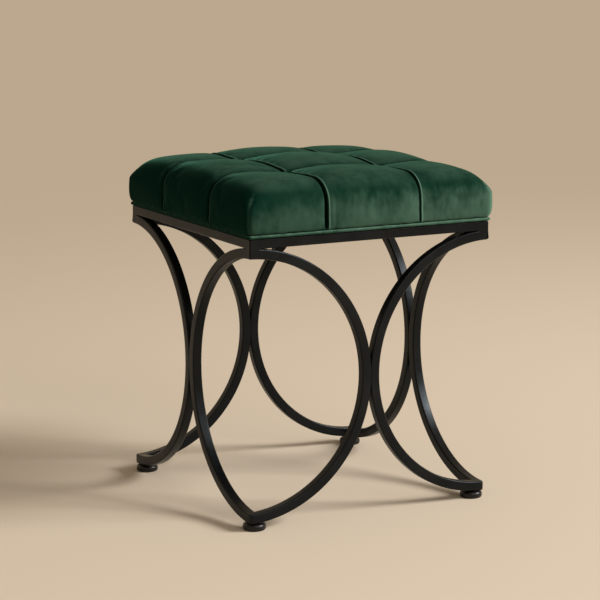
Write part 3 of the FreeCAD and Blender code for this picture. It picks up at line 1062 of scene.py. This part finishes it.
velvet = make_velvet()
near_tuck = graded_marks(tuck_mark, 0.0008, 0.0055, 0.0055)
beyond_tuck = graded_marks(top_length - tuck_mark, 0.0008, 0.0055, 0.0011)
cushion_shape, cushion_keys = lay_cushion(both_ways(near_tuck, beyond_tuck), 16)
draw_in(cushion_shape, cushion_keys)
swell(cushion_shape)
fold_tucks(cushion_shape, cushion_keys)
cushion_shape = subdivided(cushion_shape)
turn_in_hem(cushion_shape)
bmesh.ops.recalc_face_normals(cushion_shape, faces=cushion_shape.faces)
shade_smooth(cushion_shape)

cushion = add_object("tufted_cushion", cushion_shape, velvet)
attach(cushion, "frame")
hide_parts("velvet_cover", "foam_pad")


# Welt
# A thin cord covered in the same velvet, sewn round the foot of the cushion. It lies on the rails
# and is drawn a little tighter at each stitch.
welt_half = frame_half + 0.0011
welt_radius = 0.0026
welt_corner = 0.004
welt_straight_steps = 84
welt_corner_steps = 6
welt_pucker = 0.00050
welt_lit_turn = 0.8  # how far up round the cord its painted highlight lies
welt_lit_width = 0.5

side_steps = welt_straight_steps + welt_corner_steps
welt_steps = 4 * side_steps


def round_the_square(number):
    """A place on the welt's line and its outward direction, by its number along the line."""
    side, step = divmod(number, side_steps)
    reach = welt_half - welt_corner
    if step <= welt_straight_steps:
        place = Vector((-reach + 2 * reach * step / welt_straight_steps, -welt_half, 0))
        outward = Vector((0, -1, 0))
    else:
        angle = math.pi / 2 * (step - welt_straight_steps) / welt_corner_steps
        outward = Vector((math.sin(angle), -math.cos(angle), 0))
        place = Vector((reach, -reach, 0)) + outward * welt_corner
    turn = Matrix.Rotation(math.pi / 2 * side, 3, "Z")
    return turn @ place, turn @ outward


# It is spun as a ring of radius 1, whose points then go to their places round the square.
welt_shape = bmesh.new()
welt_painted_highlight = welt_shape.verts.layers.float.new("painted_highlight")
bmesh.ops.create_circle(welt_shape, cap_ends=False, segments=12, radius=0.2,
                        matrix=Matrix.Translation((1, 0, 0)) @ Matrix.Rotation(math.pi / 2, 4, "X"))
bmesh.ops.spin(welt_shape, geom=all_of(welt_shape), cent=(0, 0, 0), axis=(0, 0, 1), angle=math.tau,
               steps=welt_steps, use_merge=True)
for vert in welt_shape.verts:
    number = round(math.atan2(vert.co.y, vert.co.x) / math.tau * welt_steps) % welt_steps
    place, outward = round_the_square(number)
    around = math.atan2(vert.co.z, math.hypot(vert.co.x, vert.co.y) - 1)
    radius = welt_radius + welt_pucker * (noise.noise(place * 55) - 0.5)
    vert.co = place + outward * radius * math.cos(around)
    vert.co.z = rail_top + welt_radius + radius * math.sin(around)
    # a painted highlight along the cord's top, broken by the nap
    lit = max(0.0, 0.55 + 0.75 * noise.noise(place * 110))
    vert[welt_painted_highlight] = lit * bell(around - welt_lit_turn, welt_lit_width)
bmesh.ops.recalc_face_normals(welt_shape, faces=welt_shape.faces)
shade_smooth(welt_shape)

welt = add_object("velvet_welt", welt_shape, velvet)
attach(welt, "frame")
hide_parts("seat_welt")


# Tuft twines and toggles
# Waxed polyester twine, pulled down through the foam and the board and tied to a disc of plain
# white nylon under the board.
twine_colour = (0.52, 0.47, 0.36, 1)
twine_shade = (0.30, 0.27, 0.20, 1)
twine_lay = 0.0012
strand_depth = 0.0003
toggle_colour = (0.62, 0.61, 0.58, 1)
toggle_worn = (0.50, 0.49, 0.45, 1)

twine, twine_tree, twine_shader = start_material("waxed_twine")
strands = stripes(twine_tree, object_place(twine_tree), "DIAGONAL", twine_lay)
twine_tone = blended(twine_tree, strands, twine_shade, twine_colour)
set_inputs(twine_shader, Base_Color=twine_tone, Roughness=0.55)
raise_surface(twine_tree, twine_shader, strands, strand_depth)
paint(twine, "tuft_twines")

toggle, toggle_tree, toggle_shader = start_material("toggle_plastic")
toggle_place = object_place(toggle_tree)
toggle_patches = ranged(toggle_tree, cloudy(toggle_tree, toggle_place, 0.002, 4.0), 0.45, 0.75)
toggle_tone = blended(toggle_tree, toggle_patches, toggle_colour, toggle_worn)
set_inputs(toggle_shader, Base_Color=toggle_tone, Roughness=0.45)
raise_surface(toggle_tree, toggle_shader, cloudy(toggle_tree, toggle_place, 0.0005), 0.00002, 0.5)
paint(toggle, "tuft_toggles")


# Dust cover
# Thin black spun cloth under the board, cut off at the corners to clear the tabs, stapled round
# its edge and sagging a little in the middle.
dust_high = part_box("dust_cover")[1]
dust_half = dust_high.x
dust_corner_leg = 0.0484
dust_thickness = 0.0004
dust_sag = 0.0016
dust_cells = 60
gather_height = 0.0003
dust_colour = (0.0065, 0.0065, 0.0070, 1)
dust_fibre = (0.022, 0.022, 0.023, 1)
dimple_gap = 0.0016
dimple_depth = 0.0002

dust_shape = bmesh.new()
bmesh.ops.create_grid(dust_shape, x_segments=dust_cells, y_segments=dust_cells, size=dust_half)
corner_line = math.sqrt(2) * (dust_half - dust_corner_leg / 2)
for number in range(4):
    away = Matrix.Rotation(math.pi / 2 * number, 3, "Z") @ Vector((1, 1, 0)).normalized()
    bmesh.ops.bisect_plane(dust_shape, geom=all_of(dust_shape), plane_co=away * corner_line,
                           plane_no=away, clear_outer=True)
dust_top = dust_high.z - dust_thickness / 2 - cloth_clearance
for vert in dust_shape.verts:
    inside = max(0.0, 1 - max(abs(vert.co.x), abs(vert.co.y)) / dust_half)
    slack = smooth(inside * 3)
    gathers = noise.noise(Vector((vert.co.x * 60, vert.co.y * 60, 3.0))) * gather_height
    gathers *= smooth(inside * 25)
    vert.co.z = min(dust_top - dust_sag * slack + gathers, dust_top)
shade_smooth(dust_shape)

dust_cloth, dust_tree, dust_shader = start_material("black_spun_cloth")
dust_place = object_place(dust_tree)
fibres = ranged(dust_tree, cloudy(dust_tree, dust_place, 0.0009, 5.0), 0.45, 0.7)
dust_tone = blended(dust_tree, fibres, dust_colour, dust_fibre)
set_inputs(dust_shader, Base_Color=dust_tone, Roughness=0.85, Specular_IOR_Level=0.25)
dimples = dust_tree.nodes.new("ShaderNodeTexVoronoi")
set_inputs(dimples, Vector=dust_place, Scale=1 / dimple_gap, Randomness=0.1)
dimpled = ranged(dust_tree, dimples.outputs["Distance"], 0.1, 0.5)
raise_surface(dust_tree, dust_shader, dimpled, dimple_depth, 0.6)

dust_sheet = add_object("dust_sheet", dust_shape, dust_cloth)
dust_body = dust_sheet.modifiers.new("thickness", "SOLIDIFY")
dust_body.thickness = dust_thickness
dust_body.offset = 0
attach(dust_sheet, "frame")
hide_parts("dust_cover")
